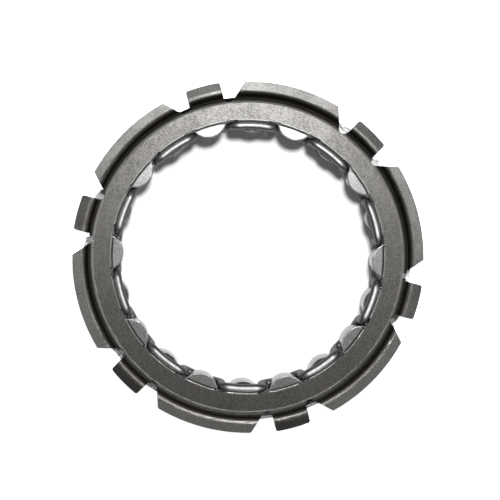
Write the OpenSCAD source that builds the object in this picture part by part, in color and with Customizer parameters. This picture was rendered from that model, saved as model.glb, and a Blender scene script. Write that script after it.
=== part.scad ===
// Starter clutch: a one-way sprag clutch ring for a motorcycle starter drive.
// Millimetres. Z is the axis of rotation, and Z = 0 is the back face of the cage.
// The front side, with the lugs, points to +Z.

/* [Races] */
// Diameter of the starter gear hub that the sprags grip
hub_d = 52; // [48:0.5:56]
// Radial height of a sprag, which is the gap between hub and outer race
race_gap = 8.33; // [8.1:0.01:8.5]

/* [Sprags] */
// Number of sprag pairs, one of each pair standing forward and one back
sprag_pairs = 10; // [8:1:10]
// Angle of the first forward sprag
first_sprag = -2.3; // [-9:0.1:9]
// Length of a sprag
sprag_len = 11.25; // [9:0.25:14]
// How much further forward the forward sprags stand
stagger = 1.25; // [1:0.05:1.5]
// Distance of each cam's centre from the sprag's middle, across the race gap
cam_rise = 0.3; // [0.2:0.01:0.4]
// Distance of each cam's centre from the sprag's middle, along the race
cam_lean = 0.22; // [0.1:0.01:0.3]
// Radius of the rounded edge at a sprag's ends
sprag_edge_r = 0.25; // [0.1:0.05:0.4]
// Depth of the hollow in each flank of a sprag
waist_depth = 0.7; // [0.3:0.1:1]
// Radius of that hollow
waist_r = 2.4; // [1.8:0.1:3]
// End play of a sprag in its window
end_gap = 0.15; // [0.1:0.01:0.3]
// Tilt of a sprag from rest to full grip
lock_tilt = 6; // [3:0.5:7]
// Tilt of a sprag from rest to running free
free_tilt = 4; // [2:0.5:5]
// Clearance between a tilted sprag and the sides of its window
window_gap = 0.2; // [0.1:0.01:0.3]
// Corner radius of a window
window_corner = 0.5; // [0.2:0.1:1]

/* [Separator spring] */
// Diameter of the spring wire
wire_d = 1.76; // [1.5:0.01:1.8]
// Bend radius of the wire, to its centre
wire_bend_r = 1.5; // [1.2:0.05:1.7]
// Clearance between the wire and the sprag end it passes over
bar_gap = 0.12; // [0.1:0.01:0.2]
// Clearance between a leg of the wire and the nearest sprag
leg_gap = 0.13; // [0.11:0.01:0.2]
// Clearance between the wire and the edge of the plates around it
wire_gap = 0.06; // [0.04:0.01:0.12]

/* [Cage and flange plate] */
// Radial clearance between the cage and the outer race
cage_gap = 0.33; // [0.2:0.01:0.5]
// Sheet thickness of the cage
cage_t = 0.6; // [0.5:0.05:0.7]
// Sheet thickness of the flange plate
plate_t = 0.6; // [0.5:0.05:0.7]
// Gap between the flange plate's wall and the cage's wall
nest_gap = 0.02; // [0:0.01:0.05]
// Inside radius of the deep-drawn corners
corner_r = 0.55; // [0.2:0.05:0.6]
// Radius of the rounded edge along the ring's bore
edge_r = 0.2; // [0.1:0.05:0.25]
// Clear depth of a relief for the wire in the edge of a plate
relief_depth = 0.3; // [0.1:0.05:0.5]
// Width of such a relief
relief_w = 2.6; // [2.2:0.1:3]

/* [Lugs and tabs] */
// Number of lugs, and of the tabs between them
lug_count = 6; // [4:1:6]
// Angle of the first lug
first_lug = 15; // [0:1:30]
// How far the lugs reach out over the outer race
lug_reach = 2.22; // [1.8:0.02:3]
// How far the tabs reach out over the outer race
tab_reach = 2.42; // [1.8:0.02:3]
// Height of the lugs above the recessed ring
lug_rise = 3; // [2.7:0.1:4]
// Angle that a lug spans at its tip
lug_span = 31.9; // [28:0.1:34]
// Width of a tab
tab_w = 7.35; // [6.5:0.05:8.5]
// Slope of a tab down to its tip
tab_slope = 15; // [5:1:20]
// Inside radius of the bend from the ring's wall into lugs and tabs
lug_bend_r = 1.32; // [0.8:0.02:1.36]
// Radius of the notches beside the tabs
notch_r = 1.06; // [0.9:0.02:1.15]
// Depth that a notch bites into the recessed ring
notch_bite = 0.4; // [0.2:0.05:0.6]
// Corner radius at the tips of lugs and tabs
tip_r = 0.5; // [0.3:0.05:0.8]

/* [Hidden] */
$fn = 96;
over = 1; // how far a cutter reaches past what it cuts
wire_sides = 12; // flats round the wire
wire_bend_step = 22.5; // angle between two stations in a bend of the wire

steel = [0.52, 0.53, 0.55];
dark_steel = [0.40, 0.38, 0.36];
ground_steel = [0.72, 0.73, 0.75];
wire_steel = [0.82, 0.83, 0.85];

// Radii, from the hub outwards
race_r = hub_d / 2 + race_gap;
cam_r = race_gap / 2 - cam_rise;
mid_r = hub_d / 2 + race_gap / 2;
cage_r = race_r - cage_gap;
cage_in_r = cage_r - cage_t;
wall_out_r = cage_in_r - nest_gap;
wall_in_r = wall_out_r - plate_t;
crest_r = wall_in_r + lug_bend_r + plate_t;
lug_r = race_r + lug_reach;
tab_r = race_r + tab_reach;
far_r = max(lug_r, tab_r) + over;

// Heights, from the back face up
back_sprag_z = cage_t + end_gap;
front_sprag_z = back_sprag_z + stagger;
ring_z = front_sprag_z + sprag_len + end_gap;
ring_top = ring_z + plate_t;
lug_top = ring_top + lug_rise;
crest_z = lug_top - plate_t - lug_bend_r;
front_bar_z = back_sprag_z + sprag_len + bar_gap + wire_d / 2;
back_bar_z = front_sprag_z - bar_gap - wire_d / 2;

// Angles round the ring
pitch = 180 / sprag_pairs;
sprag_count = 2 * sprag_pairs;
lug_pitch = 360 / lug_count;
first_tab = first_lug + lug_pitch / 2;

// A leg lies in the gap between two noses, where it clears the nearer one by leg_gap.
// The wire's bars and the bore of the plates follow from that.
nose = [mid_r - cam_rise, cam_lean];
leg_way = polar(1, pitch / 2);
leg_apart = cam_r + leg_gap + wire_d / 2;
leg_r = nose * leg_way - sqrt(pow(nose * leg_way, 2) - nose * nose + leg_apart * leg_apart);
bar_r = sqrt(leg_r * leg_r - wire_bend_r * wire_bend_r);
bore_r = bar_r + wire_d / 2 + wire_gap;
bend_angle = asin(wire_bend_r / leg_r);

// A window spans the outer nose of its sprag, wherever the sprag tilts
nose_r = race_r - cam_r;
nose_half = sqrt(cam_r * cam_r - (cage_in_r - nose_r) * (cage_in_r - nose_r));
window_low = -(nose_half + cam_lean + cam_r * sin(lock_tilt) + window_gap);
window_high = nose_half - cam_lean + cam_r * sin(free_tilt) + window_gap;

// Notch centre, in the frame of a tab whose middle lies along X
notch_at_r = wall_in_r - notch_bite + notch_r;
notch_y = tab_w / 2 + notch_r;
notch = [sqrt(notch_at_r * notch_at_r - notch_y * notch_y), notch_y];

// The end of a lug runs straight out from the notch, tangent to it, to the lug's corner
lug_corner = polar(lug_r, (lug_pitch - lug_span) / 2);
from_notch = lug_corner - notch;
lug_end_angle = atan2(from_notch.y, from_notch.x) - asin(notch_r / norm(from_notch));
lug_end_foot = notch + polar(notch_r, lug_end_angle + 90);

function polar(r, a) = [r * cos(a), r * sin(a)];
function sprag_name(i) = str("sprag_", i < 10 ? "0" : "", i);
function sprag_angle(i) = first_sprag + (i - 1) * pitch;
function is_forward(i) = i % 2 == 1;

// A quarter of a bent sheet's section: 0 is up and outwards, counted anticlockwise
module bend_section(inner_r, t, quarter) {
    intersection() {
        difference() {
            circle(inner_r + t);
            circle(inner_r);
        }
        rotate(90 * quarter) square(inner_r + t + over);
    }
}

// Places children at every leg of the spring, halfway between two sprags
module at_legs() {
    for (i = [1:sprag_count]) rotate(sprag_angle(i) + pitch / 2) children();
}

// Plan of one notch beside a tab, open outwards up to the end of the lug
module notch_plan() {
    translate(notch) circle(notch_r);
    polygon([
        notch,
        [notch.x, tab_w / 2],
        [far_r, tab_w / 2],
        lug_end_foot + polar(2 * (far_r - notch_at_r), lug_end_angle),
        lug_end_foot
    ]);
}

module all_notches() {
    for (k = [0:lug_count - 1]) rotate(first_tab + k * lug_pitch) {
        notch_plan();
        mirror([0, 1]) notch_plan();
    }
}

// What a rounded corner takes away: the wedge between two normals, less the round
module corner_waste(centre, from_angle, to_angle) {
    reach = 3 * tip_r;
    translate(centre) difference() {
        polygon([
            [0, 0],
            polar(reach, from_angle),
            polar(2 * reach, (from_angle + to_angle) / 2),
            polar(reach, to_angle)
        ]);
        circle(tip_r);
    }
}

module tip_corners() {
    tab_y = tab_w / 2 - tip_r;
    tab_centre = [sqrt(pow(tab_r - tip_r, 2) - tab_y * tab_y), tab_y];
    start = lug_end_foot + polar(tip_r, lug_end_angle + 90);
    along = polar(1, lug_end_angle);
    run = sqrt(pow(start * along, 2) - start * start + pow(lug_r - tip_r, 2)) - start * along;
    lug_centre = start + run * along;
    corner_waste(tab_centre, atan2(tab_centre.y, tab_centre.x), 90);
    corner_waste(lug_centre, lug_end_angle - 90, atan2(lug_centre.y, lug_centre.x));
}

module tab_zone() {
    for (k = [0:lug_count - 1]) rotate(first_tab + k * lug_pitch)
        translate([bore_r, -notch_y]) square([far_r - bore_r, 2 * notch_y]);
}

// Plan of the flange plate as it is blanked, with lugs, tabs and wire reliefs
module plate_plan() {
    difference() {
        union() {
            circle(lug_r);
            intersection() {
                circle(tab_r);
                tab_zone();
            }
        }
        circle(bore_r);
        all_notches();
        at_legs() translate([bore_r - over, -relief_w / 2]) square([over + relief_depth, relief_w]);
        for (k = [0:lug_count - 1]) rotate(first_tab + k * lug_pitch) {
            tip_corners();
            mirror([0, 1]) tip_corners();
        }
    }
}

// Section of the plate from its bore up to the top of its wall, where lugs and tabs bend out
module plate_root_section() {
    translate([bore_r, ring_z]) square([wall_in_r - corner_r - bore_r, plate_t - edge_r]);
    translate([bore_r + edge_r, ring_z])
        square([wall_in_r - corner_r - bore_r - edge_r, plate_t]);
    translate([bore_r + edge_r, ring_top - edge_r]) circle(edge_r);
    translate([wall_in_r - corner_r, ring_top + corner_r]) bend_section(corner_r, plate_t, 3);
    translate([wall_in_r, ring_top + corner_r])
        square([plate_t, crest_z - ring_top - corner_r]);
}

module lug_section() {
    translate([crest_r, crest_z]) bend_section(lug_bend_r, plate_t, 1);
    translate([crest_r, crest_z + lug_bend_r]) square([far_r - crest_r, plate_t]);
}

// A tab bends on past the crest by its slope, and then runs straight down to its tip
module tab_section() {
    translate([crest_r, crest_z]) {
        bend_section(lug_bend_r, plate_t, 1);
        rotate(-tab_slope) {
            bend_section(lug_bend_r, plate_t, 1);
            translate([0, lug_bend_r]) square([far_r - crest_r + over, plate_t]);
        }
    }
}

module revolved_within(height) {
    intersection() {
        rotate_extrude() children(0);
        linear_extrude(height) children(1);
    }
}

module flange_plate() {
    blank_z = lug_top + over;
    color(dark_steel) {
        revolved_within(blank_z) {
            plate_root_section();
            plate_plan();
        }
        revolved_within(blank_z) {
            lug_section();
            difference() {
                plate_plan();
                tab_zone();
            }
        }
        revolved_within(blank_z) {
            tab_section();
            intersection() {
                plate_plan();
                tab_zone();
            }
        }
    }
}

// Section of the cage: back flange, drawn corner and wall up to the plate's bend
module cage_section() {
    translate([bore_r, 0]) square([cage_in_r - corner_r - bore_r, cage_t]);
    translate([cage_in_r - corner_r, cage_t + corner_r]) bend_section(corner_r, cage_t, 3);
    translate([cage_in_r, cage_t + corner_r])
        square([cage_t, crest_z - cage_t - corner_r]);
}

// One window, cut outwards from inside the wall
module window() {
    w = window_high - window_low;
    h = ring_z - cage_t;
    corners = [window_corner, w - window_corner];
    translate([cage_in_r - corner_r - over, window_low, cage_t])
        rotate([90, 0, 90])
        linear_extrude(cage_t + corner_r + 2 * over) {
            translate([window_corner, 0]) square([w - 2 * window_corner, h]);
            translate([0, window_corner]) square([w, h - 2 * window_corner]);
            for (x = corners, y = [window_corner, h - window_corner])
                translate([x, y]) circle(window_corner);
        }
}

module cage_body() {
    color(steel) difference() {
        rotate_extrude() cage_section();
        for (i = [1:sprag_count]) rotate(sprag_angle(i)) window();
        translate([0, 0, ring_z]) linear_extrude(lug_top - ring_z) all_notches();
        translate([0, 0, -over]) linear_extrude(cage_t + 2 * over)
            at_legs() translate([bore_r - over, -relief_w / 2])
                square([over + relief_depth, relief_w]);
    }
}

// The wire runs over one sprag and under the next. Over each it makes a bar that follows
// the ring, and at both ends of the bar it bends into a leg. A station is a point of its
// centre line with the directions across it: [point, outward, sideways].
function wire_station(base, y, z, way) =
    let (outward = [cos(base), sin(base), 0], along = [-sin(base), cos(base), 0])
    [bar_r * outward + y * along + [0, 0, z], outward, -way.y * along + [0, 0, way.x]];

function wire_over(i) =
    let (
        middle = sprag_angle(i),
        half = pitch / 2 - bend_angle,
        bar_z = is_forward(i) ? back_bar_z : front_bar_z,
        turn = is_forward(i) ? 1 : -1,
        lift = turn * wire_bend_r
    )
    concat(
        [for (t = [0:wire_bend_step:90])
            wire_station(middle - half, -wire_bend_r * cos(t), bar_z + lift * (1 - sin(t)),
                         [sin(t), -turn * cos(t)])],
        [wire_station(middle, 0, bar_z, [1, 0])],
        [for (t = [0:wire_bend_step:90])
            wire_station(middle + half, wire_bend_r * sin(t), bar_z + lift * (1 - cos(t)),
                         [cos(t), turn * sin(t)])]
    );

module separator_spring() {
    stations = [for (i = [1:sprag_count]) each wire_over(i)];
    rings = len(stations);
    points = [for (s = stations, k = [0:wire_sides - 1])
        let (a = 360 * k / wire_sides) s[0] + wire_d / 2 * (cos(a) * s[1] + sin(a) * s[2])];
    faces = [for (m = [0:rings - 1], k = [0:wire_sides - 1])
        let (
            here = m * wire_sides,
            there = ((m + 1) % rings) * wire_sides,
            next = (k + 1) % wire_sides
        )
        each [[here + k, there + k, there + next], [here + k, there + next, here + next]]];
    color(wire_steel) polyhedron(points, faces);
}

// One nose of a sprag, round and with rounded ends
module cam() {
    e = sprag_edge_r;
    rotate_extrude() {
        square([cam_r - e, sprag_len]);
        translate([0, e]) square([cam_r, sprag_len - 2 * e]);
        for (z = [e, sprag_len - e]) translate([cam_r - e, z]) circle(e);
    }
}

// A sprag stands on the X axis, with its two cams leaning to opposite sides
module sprag(i) {
    waist_y = race_gap / 2 - waist_depth + waist_r;
    color(ground_steel) rotate(sprag_angle(i))
        translate([mid_r, 0, is_forward(i) ? front_sprag_z : back_sprag_z])
        difference() {
            union() {
                translate([cam_rise, -cam_lean, 0]) cam();
                translate([-cam_rise, cam_lean, 0]) cam();
            }
            for (side = [-1, 1]) translate([0, side * waist_y, -over])
                cylinder(h = sprag_len + 2 * over, r = waist_r);
        }
}

flange_plate();
cage_body();
separator_spring();
for (i = [1:sprag_count])
    sprag(i);
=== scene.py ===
"""Looks of the starter clutch: materials, a smooth separator spring, camera, floor and lights.

The frame is that of the CAD model, where Z is the clutch's axis and Z = 0 its back face. Geometry
is in metres. Materials and the places of lights and camera are in millimetres.
"""

from math import asin, cos, pi, radians, sin, sqrt

import bpy
from mathutils import Matrix, Vector


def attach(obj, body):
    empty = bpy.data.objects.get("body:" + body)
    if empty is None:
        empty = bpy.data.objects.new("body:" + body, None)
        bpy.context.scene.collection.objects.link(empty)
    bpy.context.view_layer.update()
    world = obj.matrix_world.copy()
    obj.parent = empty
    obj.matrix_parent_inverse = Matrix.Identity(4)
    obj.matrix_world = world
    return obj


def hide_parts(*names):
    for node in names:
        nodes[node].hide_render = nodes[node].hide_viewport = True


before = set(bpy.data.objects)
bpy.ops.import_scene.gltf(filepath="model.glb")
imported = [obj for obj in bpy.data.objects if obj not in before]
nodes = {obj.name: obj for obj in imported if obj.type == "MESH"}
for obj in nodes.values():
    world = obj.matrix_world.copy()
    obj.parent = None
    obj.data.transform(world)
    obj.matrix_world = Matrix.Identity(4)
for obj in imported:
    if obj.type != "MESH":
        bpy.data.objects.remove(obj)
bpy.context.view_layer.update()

MM = 0.001

# The wire's route, with the same values as the CAD source
SPRAG_COUNT = 20
PITCH = 360 / SPRAG_COUNT
FIRST_SPRAG = -2.3
WIRE_D = 1.76 * MM
BEND_R = 1.5 * MM
HUB_R = 26 * MM
RACE_GAP = 8.33 * MM
CAM_RISE = 0.3 * MM
CAM_LEAN = 0.22 * MM
LEG_GAP = 0.13 * MM
FRONT_BAR_Z = 13.0 * MM
BACK_BAR_Z = 1.0 * MM

# Places on the CAD pieces that the materials follow, in millimetres
PLATE_BORE_R = 28.45
PLATE_WALL_R = 32.78
LUG_CREST_R = 34.7
BACK_SPRAG_TOP = 12.0
CAGE_RIM_Z = 13.4
WIRE_MIDDLE_Z = 7.0
WIRE_BAR_R = 27.5

# Tones of the steel: scuffs, ground flanks, and painted highlights, shade and shadows
PAINTED_EDGE_HIGHLIGHT = (0.85, 0.845, 0.835, 1)
SCUFFED_LUG = (0.6, 0.595, 0.585, 1)
PAINTED_BEND_SHADE = (0.07, 0.066, 0.06, 1)
PAINTED_BORE_SHADOW = (0.07, 0.069, 0.068, 1)
PAINTED_WIRE_SHADOW = (0.17, 0.168, 0.165, 1)
GROUND_FLANK = (0.23, 0.23, 0.23, 1)
PAINTED_EDGE_GLINT = (0.95, 0.95, 0.95, 1)
PAINTED_WIRE_SHADE = (0.19, 0.19, 0.19, 1)
PAINTED_RIM_SHADE = (0.15, 0.15, 0.15, 1)
PAINTED_RIM_HIGHLIGHT = (0.85, 0.85, 0.85, 1)
HALF_SPECULAR = (0.5, 0.5, 0.5, 1)


# Materials
class Nodes:
    """A short way to write a material's node tree."""

    def __init__(self, name):
        self.material = bpy.data.materials.new(name)
        self.material.use_nodes = True
        self.tree = self.material.node_tree
        self.tree.nodes.clear()
        self.output = self.add("ShaderNodeOutputMaterial")
        self.shader = self.add("ShaderNodeBsdfPrincipled")
        self.link(self.shader.outputs["BSDF"], self.output.inputs["Surface"])

    def add(self, kind, **values):
        node = self.tree.nodes.new(kind)
        for key, value in values.items():
            setattr(node, key, value)
        return node

    def link(self, source, target):
        self.tree.links.new(source, target)

    def put(self, value, target):
        if isinstance(value, (int, float, tuple)):
            target.default_value = value
        else:
            self.link(value, target)

    def place(self, stretch=(1, 1, 1), turn=(0, 0, 0)):
        """The place on the piece in millimetres."""
        where = self.add("ShaderNodeTexCoord")
        mapping = self.add("ShaderNodeMapping")
        mapping.inputs["Scale"].default_value = [1000 * s for s in stretch]
        mapping.inputs["Rotation"].default_value = [radians(t) for t in turn]
        self.link(where.outputs["Object"], mapping.inputs["Vector"])
        return mapping.outputs["Vector"]

    def radius(self):
        """Distance from the clutch's axis in millimetres."""
        flat = self.add("ShaderNodeVectorMath", operation="MULTIPLY")
        self.link(self.place(), flat.inputs[0])
        flat.inputs[1].default_value = (1, 1, 0)
        length = self.add("ShaderNodeVectorMath", operation="LENGTH")
        self.link(flat.outputs["Vector"], length.inputs[0])
        return length.outputs["Value"]

    def part_of(self, vector, axis):
        """One of the three parts of a vector."""
        node = self.add("ShaderNodeSeparateXYZ")
        self.link(vector, node.inputs["Vector"])
        return node.outputs[axis]

    def height(self):
        """Height above the clutch's back face in millimetres."""
        return self.part_of(self.place(), "Z")

    def normal_z(self):
        """How far a surface faces along the clutch's axis, from -1 to 1."""
        return self.part_of(self.add("ShaderNodeTexCoord").outputs["Normal"], "Z")

    def noise(self, place, scale, detail, roughness):
        node = self.add("ShaderNodeTexNoise")
        self.link(place, node.inputs["Vector"])
        node.inputs["Scale"].default_value = scale
        node.inputs["Detail"].default_value = detail
        node.inputs["Roughness"].default_value = roughness
        return node.outputs["Fac"]

    def spread(self, value, low, high, to_low=0.0, to_high=1.0):
        """Follows a value from low to high, and holds its ends beyond them."""
        node = self.add("ShaderNodeMapRange")
        self.put(value, node.inputs["Value"])
        node.inputs["From Min"].default_value = low
        node.inputs["From Max"].default_value = high
        node.inputs["To Min"].default_value = to_low
        node.inputs["To Max"].default_value = to_high
        return node.outputs["Result"]

    def math(self, operation, a, b=0.0):
        node = self.add("ShaderNodeMath", operation=operation)
        self.put(a, node.inputs[0])
        self.put(b, node.inputs[1])
        return node.outputs["Value"]

    def mix(self, factor, a, b):
        node = self.add("ShaderNodeMix", data_type="RGBA")
        self.put(factor, node.inputs["Factor"])
        colours = [s for s in node.inputs if s.type == "RGBA"]
        self.put(a, colours[0])
        self.put(b, colours[1])
        return [s for s in node.outputs if s.type == "RGBA"][0]

    def bump(self, height, strength, distance):
        node = self.add("ShaderNodeBump")
        node.inputs["Strength"].default_value = strength
        node.inputs["Distance"].default_value = distance
        self.link(height, node.inputs["Height"])
        return node.outputs["Normal"]


def steel(name, dark, light, roughness, grain, bump, change):
    """Bare steel with a fine grain, slow changes of tone and faint streaks from tumbling.
    Its roughness runs from that of the light grains to that of the dark ones. The bump is in
    millimetres. change(nodes, colour, roughness) gives the two back as they differ from place
    to place."""
    n = Nodes(name)
    place = n.place()
    tone = n.spread(n.noise(place, 0.25, 3.0, 0.55), 0.3, 0.7)
    speckle = n.spread(n.noise(place, grain, 2.0, 0.5), 0.3, 0.7)
    fine = n.spread(n.noise(place, 2.2 * grain, 2.0, 0.5), 0.3, 0.7)
    streaks = n.spread(n.noise(n.place((1.0, 0.1, 0.3), (0, 0, 12)), 3.0, 2.0, 0.6), 0.3, 0.7)
    mix = 0.0
    for value, share in ((speckle, 0.42), (fine, 0.32), (tone, 0.16), (streaks, 0.10)):
        mix = n.math("ADD", n.math("MULTIPLY", value, share), mix)
    mix = n.spread(mix, 0.3, 0.7)
    colour = n.mix(mix, (*dark, 1), (*light, 1))
    of_light, of_dark = roughness
    colour, roughness = change(n, colour, n.spread(mix, 0.0, 1.0, of_dark, of_light))
    n.link(colour, n.shader.inputs["Base Color"])
    n.shader.inputs["Metallic"].default_value = 1.0
    n.link(roughness, n.shader.inputs["Roughness"])
    height = n.math("ADD", n.math("MULTIPLY", speckle, 0.7), n.math("MULTIPLY", fine, 0.3))
    n.link(n.bump(height, 1.0, bump * MM), n.shader.inputs["Normal"])
    return n.material


def plate_painted_light_and_scuffs(n, colour, roughness):
    """The ring's two rounded edges get a painted highlight, the outer one most towards +Y. The
    bend between the ring and the lugs gets painted shade."""
    radius = n.radius()
    at_bore = n.spread(radius, PLATE_BORE_R + 0.2, PLATE_BORE_R + 0.4, 0.55, 0.0)
    from_flat = n.spread(radius, PLATE_WALL_R - 0.58, PLATE_WALL_R - 0.28)
    to_wall = n.spread(radius, PLATE_WALL_R - 0.04, PLATE_WALL_R + 0.06, 1.0, 0.0)
    at_corner = n.math("MULTIPLY", from_flat, to_wall)
    towards_y = n.spread(n.part_of(n.place(), "Y"), -25.0, 5.0, 0.3, 1.0)
    painted_highlight = n.math("MAXIMUM", at_bore, n.math("MULTIPLY", at_corner, towards_y))
    # Painted highlight on both rounded edges, stronger towards +Y on the outer one
    colour = n.mix(painted_highlight, colour, PAINTED_EDGE_HIGHLIGHT)
    roughness = n.math("ADD", roughness, n.math("MULTIPLY", at_corner, 0.5))
    past_wall = n.spread(radius, PLATE_WALL_R + 0.06, PLATE_WALL_R + 0.17)
    before_crest = n.spread(radius, LUG_CREST_R - 0.9, LUG_CREST_R, 1.0, 0.0)
    # Painted shade in the bend between the ring and the lugs
    colour = n.mix(n.math("MULTIPLY", past_wall, before_crest), colour, PAINTED_BEND_SHADE)
    # The tops of lugs and tabs are scuffed by handling, so they are lighter and duller
    on_lug = n.spread(radius, LUG_CREST_R - 0.5, LUG_CREST_R + 0.1)
    colour = n.mix(n.math("MULTIPLY", on_lug, 0.12), colour, SCUFFED_LUG)
    return colour, n.math("ADD", roughness, n.math("MULTIPLY", on_lug, 0.07))


def sprag_flanks_and_painted_light(n, colour, roughness):
    """The flanks and noses of a sprag are ground smooth and darker than its end faces."""
    flank_roughness = 0.13
    upright = n.math("ABSOLUTE", n.normal_z())
    on_end = n.spread(upright, 0.3, 0.6)
    # Painted shadow: a dark line where the end faces pass under the edge of the ring
    radius = n.radius()
    before_bore = n.spread(radius, PLATE_BORE_R - 0.33, PLATE_BORE_R - 0.2)
    past_bore = n.spread(radius, PLATE_BORE_R + 0.25, PLATE_BORE_R + 0.75, 1.0, 0.0)
    in_line = n.math("MULTIPLY", before_bore, past_bore)
    colour = n.mix(n.math("MULTIPLY", in_line, on_end), colour, PAINTED_BORE_SHADOW)
    # Painted shadow of the wire on the ends that stand back, where it passes over them
    stands_back = n.spread(n.height(), BACK_SPRAG_TOP + 0.3, BACK_SPRAG_TOP + 0.6, 1.0, 0.0)
    near_wire = n.spread(radius, WIRE_BAR_R + 2.0, WIRE_BAR_R + 3.5, 1.0, 0.0)
    colour = n.mix(n.math("MULTIPLY", stands_back, near_wire), colour, PAINTED_WIRE_SHADOW)
    colour = n.mix(on_end, GROUND_FLANK, colour)
    # Painted highlight on the rounded edges round the ends
    past_flank = n.spread(upright, 0.3, 0.5)
    on_edge = n.math("MULTIPLY", past_flank, n.spread(upright, 0.95, 0.99, 1.0, 0.0))
    colour = n.mix(on_edge, colour, PAINTED_EDGE_GLINT)
    n.shader.inputs["Specular Tint"].default_value = HALF_SPECULAR
    rougher_end = n.math("MULTIPLY", on_end, n.math("SUBTRACT", roughness, flank_roughness))
    roughness = n.math("ADD", rougher_end, flank_roughness)
    return colour, n.math("ADD", n.math("MULTIPLY", on_edge, 0.4), roughness)


def wire_painted_light(n, colour, roughness):
    """The bars of the wire get a painted highlight on top, most on the side away from the hub.
    Their sides and the legs get painted shade."""
    from_middle = n.math("ABSOLUTE", n.math("SUBTRACT", n.height(), WIRE_MIDDLE_Z))
    on_bar = n.spread(from_middle, 4.6, 5.8)
    on_top = n.spread(n.math("ABSOLUTE", n.normal_z()), 0.2, 0.85)
    outer_side = n.spread(n.radius(), WIRE_BAR_R - 0.3, WIRE_BAR_R + 0.3, 0.2, 1.0)
    painted_highlight = n.math("MULTIPLY", n.math("MULTIPLY", on_bar, on_top), outer_side)
    n.shader.inputs["Specular Tint"].default_value = HALF_SPECULAR
    # Painted highlight on top of the bars, painted shade on their sides and the legs
    return n.mix(painted_highlight, PAINTED_WIRE_SHADE, colour), roughness


def cage_rim_painted_light(n, colour, roughness):
    """The cut edge of the cage's rim gets a painted highlight in the notches, brighter towards
    +Y.
    """
    at_rim = n.spread(n.height(), CAGE_RIM_Z - 0.4, CAGE_RIM_Z - 0.1)
    up = n.math("MULTIPLY", at_rim, n.spread(n.normal_z(), 0.5, 0.8))
    towards_y = n.spread(n.part_of(n.place(), "Y"), -20.0, 15.0)
    # Painted highlight on the rim's cut edge, fading to painted shade towards -Y
    return n.mix(up, colour, n.mix(towards_y, PAINTED_RIM_SHADE, PAINTED_RIM_HIGHLIGHT)), roughness


MATERIALS = {
    "flange_steel": steel("plate_steel", (0.14, 0.136, 0.131), (0.38, 0.374, 0.363),
                          roughness=(0.28, 0.37), grain=4.4, bump=0.0035, change=plate_painted_light_and_scuffs),
    "cage_steel": steel("cage_sheet_steel", (0.19, 0.188, 0.185), (0.3, 0.298, 0.293),
                        roughness=(0.32, 0.40), grain=4.4, bump=0.002, change=cage_rim_painted_light),
    "sprag_steel": steel("hardened_steel", (0.46, 0.46, 0.46), (0.76, 0.76, 0.76),
                         roughness=(0.30, 0.30), grain=3.2, bump=0.002, change=sprag_flanks_and_painted_light),
    "spring_steel": steel("wire_steel", (0.66, 0.66, 0.66), (0.84, 0.84, 0.84),
                          roughness=(0.40, 0.46), grain=2.0, bump=0.0005, change=wire_painted_light),
}

for node in nodes.values():
    for material_slot in node.material_slots:
        known = material_slot.material.name.split(".")[0] if material_slot.material else ""
        if known in MATERIALS:
            material_slot.material = MATERIALS[known]


# The separator spring, made smooth
def wire_route():
    """Points along the wire's middle line, each with the two directions across it."""
    mid_r = HUB_R + RACE_GAP / 2
    cam_r = RACE_GAP / 2 - CAM_RISE
    nose = Vector((mid_r - CAM_RISE, CAM_LEAN))
    leg_way = Vector((cos(radians(PITCH / 2)), sin(radians(PITCH / 2))))
    apart = cam_r + LEG_GAP + WIRE_D / 2
    along_leg = nose.dot(leg_way)
    leg_r = along_leg - sqrt(along_leg ** 2 - nose.length_squared + apart ** 2)
    bar_r = sqrt(leg_r ** 2 - BEND_R ** 2)
    half = PITCH / 2 - asin(BEND_R / leg_r) * 180 / pi
    bend_steps = 12
    bar_steps = 10
    leg_steps = 8
    route = []

    def station(base, y, z, way):
        outward = Vector((cos(radians(base)), sin(radians(base)), 0))
        along = Vector((-outward.y, outward.x, 0))
        point = bar_r * outward + y * along + Vector((0, 0, z))
        route.append((point, outward, -way[1] * along + Vector((0, 0, way[0]))))

    for i in range(1, SPRAG_COUNT + 1):
        middle = FIRST_SPRAG + (i - 1) * PITCH
        forward = i % 2 == 1
        bar_z = BACK_BAR_Z if forward else FRONT_BAR_Z
        turn = 1 if forward else -1
        lift = turn * BEND_R
        for k in range(bend_steps + 1):
            t = k * pi / 2 / bend_steps
            station(middle - half, -BEND_R * cos(t), bar_z + lift * (1 - sin(t)),
                    (sin(t), -turn * cos(t)))
        for k in range(1, bar_steps):
            station(middle - half + 2 * half * k / bar_steps, 0, bar_z, (1, 0))
        for k in range(bend_steps + 1):
            t = k * pi / 2 / bend_steps
            station(middle + half, BEND_R * sin(t), bar_z + lift * (1 - cos(t)),
                    (cos(t), turn * sin(t)))
        low, high = (BACK_BAR_Z + BEND_R, FRONT_BAR_Z - BEND_R)
        start, stop = (low, high) if forward else (high, low)
        for k in range(1, leg_steps):
            station(middle + half, BEND_R, start + (stop - start) * k / leg_steps,
                    (0, turn))
    return route


def separator_spring():
    sides = 32
    route = wire_route()
    points = []
    for point, outward, sideways in route:
        for k in range(sides):
            a = 2 * pi * k / sides
            points.append(point + WIRE_D / 2 * (cos(a) * outward + sin(a) * sideways))
    faces = []
    for m in range(len(route)):
        here, there = m * sides, (m + 1) % len(route) * sides
        for k in range(sides):
            following = (k + 1) % sides
            faces.append((here + k, there + k, there + following, here + following))
    mesh = bpy.data.meshes.new("separator_wire")
    mesh.from_pydata(points, [], faces)
    mesh.validate()
    for face in mesh.polygons:
        face.use_smooth = True
    piece = bpy.data.objects.new("separator_wire", mesh)
    bpy.context.scene.collection.objects.link(piece)
    piece.data.materials.append(MATERIALS["spring_steel"])
    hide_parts("separator_spring")
    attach(piece, "separator")
    return piece


wire = separator_spring()

# Floor and lights
scene = bpy.context.scene
scene.view_settings.view_transform = "Standard"
scene.view_settings.look = "None"

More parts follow.
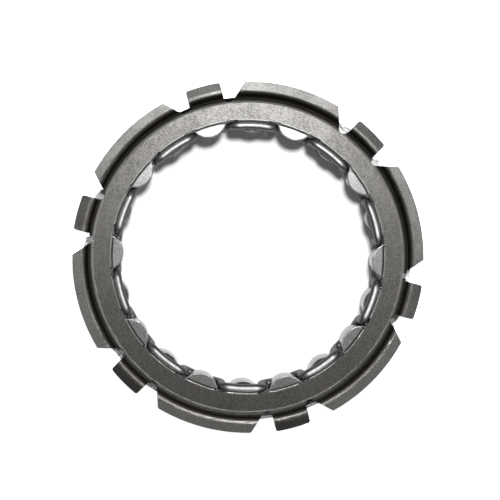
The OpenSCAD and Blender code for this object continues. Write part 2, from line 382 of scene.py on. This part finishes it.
FLOOR_HALF = 3.0
FLOOR_GAP = 0.02 * MM
GLOW_STARTS_R = 28.0
GLOW_FULL_R = 33.5
LIT_POINT = (0, 0, 8)
CAMERA_PLACE = (-17, 17.2, 692)
CAMERA_AIM = (0.382, 1.531, 17)

floor_mesh = bpy.data.meshes.new("floor")
floor_corners = [(-1, -1), (1, -1), (1, 1), (-1, 1)]
floor_mesh.from_pydata([(FLOOR_HALF * x, FLOOR_HALF * y, 0) for x, y in floor_corners],
                       [], [(0, 1, 2, 3)])
floor = bpy.data.objects.new("floor", floor_mesh)
floor.location = (0, 0, -FLOOR_GAP)
scene.collection.objects.link(floor)
paper = Nodes("floor_paper")
paper.shader.inputs["Base Color"].default_value = (0.9, 0.9, 0.9, 1)
paper.shader.inputs["Roughness"].default_value = 0.9
paper.shader.inputs["Specular IOR Level"].default_value = 0.1
# The paper glows outside the ring, painted light that washes out the ring's shadow there; inside
# the ring it hardly glows
paper.shader.inputs["Emission Color"].default_value = (1, 1, 1, 1)
paper.link(paper.spread(paper.radius(), GLOW_STARTS_R, GLOW_FULL_R, 0.03, 0.95),
           paper.shader.inputs["Emission Strength"])
floor_mesh.materials.append(paper.material)

world = bpy.data.worlds.new("studio")
world.use_nodes = True
background = world.node_tree.nodes["Background"]
background.inputs["Color"].default_value = (1.0, 0.89, 0.76, 1)
background.inputs["Strength"].default_value = 0.05
scene.world = world


def area_light(name, place, width, height, strength, shape="RECTANGLE"):
    """A soft box at a place in millimetres that looks at the clutch. Its strength is the light
    that it throws on the clutch."""
    data = bpy.data.lights.new(name, "AREA")
    data.shape = shape
    data.size = width
    data.size_y = height
    light = bpy.data.objects.new(name, data)
    away = (Vector(place) - Vector(LIT_POINT)) * MM
    light.location = Vector(place) * MM
    light.rotation_euler = away.to_track_quat("Z", "Y").to_euler()
    light.visible_camera = False
    data.energy = strength * pi * away.length_squared
    scene.collection.objects.link(light)
    return light


def only_for(light, objects, link_state):
    """The light falls only on these objects, or on everything but them."""
    group = bpy.data.collections.new(light.name + "_receivers")
    for thing in objects:
        group.objects.link(thing)
    light.light_linking.receiver_collection = group
    for entry in group.collection_objects:
        entry.light_linking.link_state = link_state


def towards(off_axis, azimuth, distance):
    """A place in millimetres, from its angle off the clutch's axis and its distance."""
    out = distance * sin(radians(off_axis))
    return (out * cos(radians(azimuth)), out * sin(radians(azimuth)),
            distance * cos(radians(off_axis)))


# The floor's own light throws the ring's shadow on it. The key spares the floor, and the wire
# and the cage's rim have a light each.
floor_key = area_light("floor_key", towards(10.5, 80, 1200), 0.12, 0.12, 3.5, "DISK")
only_for(floor_key, [floor], "INCLUDE")
key = area_light("key", (12, 86, 330), 0.035, 0.035, 0.67, "DISK")
only_for(key, [floor], "EXCLUDE")
wire_light = area_light("wire_light", towards(15, 330, 900), 0.95, 0.95, 1.7, "DISK")
only_for(wire_light, [wire], "INCLUDE")
rim_light = area_light("rim_light", towards(1.5, 135, 680), 0.16, 0.16, 0.6, "DISK")
only_for(rim_light, [nodes["cage_body"]], "INCLUDE")
soft_box_top = area_light("soft_box_top", towards(42, 82, 1000), 1.5, 0.62, 0.35)
only_for(soft_box_top, [wire], "EXCLUDE")
area_light("soft_box_left", towards(32, 163, 1000), 0.42, 0.42, 0.085)
area_light("soft_box_right", towards(30, 340, 1000), 0.42, 0.42, 0.1)

# Camera
camera_data = bpy.data.cameras.new("camera")
camera_data.lens = 234
camera_data.sensor_width = 36
camera_data.clip_start = 0.01
camera_data.clip_end = 20
camera = bpy.data.objects.new("camera", camera_data)
camera.location = Vector(CAMERA_PLACE) * MM
back = (camera.location - Vector(CAMERA_AIM) * MM).normalized()
right = Vector((0, 1, 0)).cross(back).normalized()
camera.rotation_euler = Matrix((right, back.cross(right), back)).transposed().to_euler()
scene.collection.objects.link(camera)
scene.camera = camera
